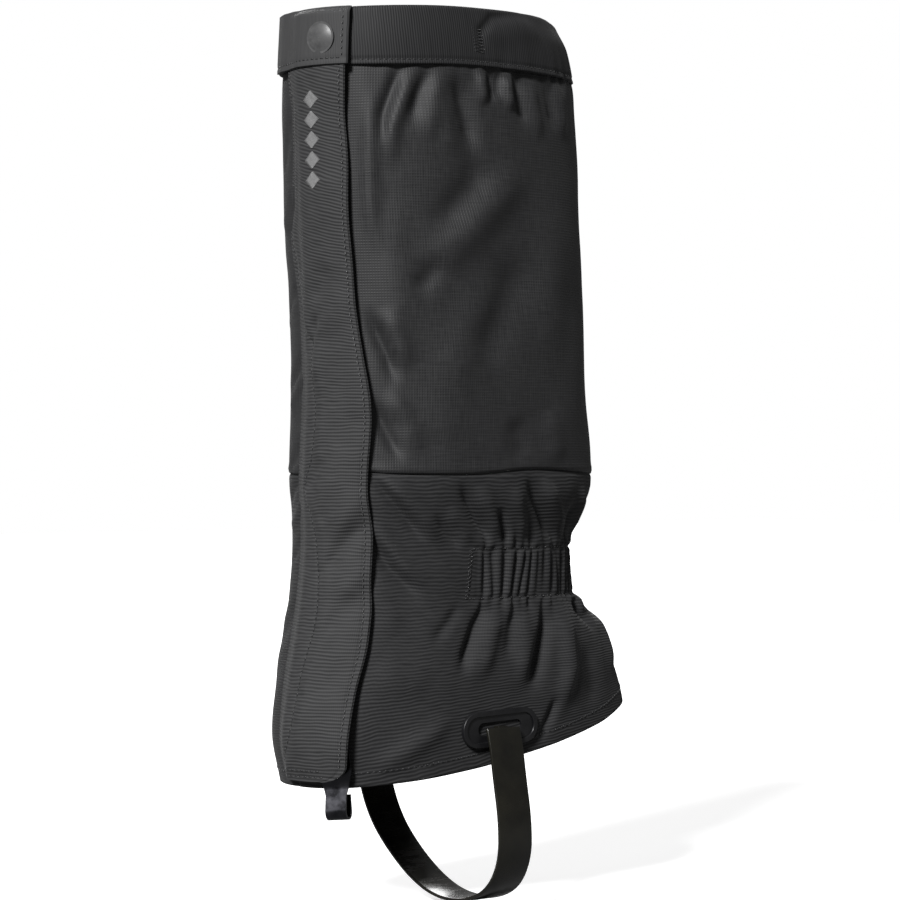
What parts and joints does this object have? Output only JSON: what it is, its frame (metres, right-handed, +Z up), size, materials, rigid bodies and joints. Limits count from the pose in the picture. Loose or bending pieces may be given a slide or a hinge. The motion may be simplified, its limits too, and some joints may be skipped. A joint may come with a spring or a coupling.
{
  "type": "leg gaiter",
  "caption": "Knee-high hook-and-loop leg gaiter with snap cuff, gathered ankle, hinged front flap, lace hook and underfoot strap through oval eyelets.",
  "frame": {"origin": "centre of the leg passage, on the leg's axis at the level of the hem's lowest point", "axes": "+Z up the leg, -Y towards the toes, +X towards the outer side of a left leg"},
  "size_m": [0.1272, 0.2123, 0.4518],
  "materials": {
    "ripstop_cloth": "fine grid weave, matt",
    "ottoman_cloth": "heavy cross-ribbed weave, matt",
    "band_cloth": "fine ribbed weave, matt",
    "lining_cloth": "plain weave, matt",
    "elastic": "knitted elastic",
    "hook_tape": "moulded hooks",
    "loop_tape": "brushed loops",
    "snap_enamel": "grey satin enamel",
    "hook_steel": "dark nickel plate",
    "eyelet_plastic": "satin moulded",
    "strap_plastic": "glossy moulded polyurethane"
  },
  "bodies": {
    "sleeve": {"upper_panel": "ripstop_cloth", "lower_panel": "ottoman_cloth", "top_band": "band_cloth", "top_elastic": "elastic", "ankle_elastic": "elastic", "ankle_casing": "lining_cloth", "hem_facing": "lining_cloth", "hook_tape": "hook_tape", "snap_stud": "hook_steel", "snap_post": "hook_steel", "outer_eyelet_plate": "eyelet_plastic", "outer_eyelet_backing": "eyelet_plastic", "inner_eyelet_plate": "eyelet_plastic", "inner_eyelet_backing": "eyelet_plastic", "lace_hook": "hook_steel", "lace_hook_rivets": "hook_steel", "lace_hook_patch": "lining_cloth"},
    "flap": {"front_flap": "ottoman_cloth", "flap_lining": "lining_cloth", "loop_tape": "loop_tape", "band_tab": "band_cloth", "snap_cap": "snap_enamel", "snap_socket": "hook_steel"},
    "underfoot_strap": {"underfoot_strap": "strap_plastic"}
  },
  "joints": [
    {"name": "front_flap_hinge", "type": "hinge", "parent": "sleeve", "child": "flap", "pos_m": [0.0005, -0.104, 0.025], "axis": [0, -0.0215, -0.9998], "range_deg": [0, 150]},
    {"name": "underfoot_strap_swing", "type": "hinge", "parent": "sleeve", "child": "underfoot_strap", "pos_m": [0, -0.009, 0.028], "axis": [1, 0, 0], "range_deg": [-35, 35]}
  ]
}
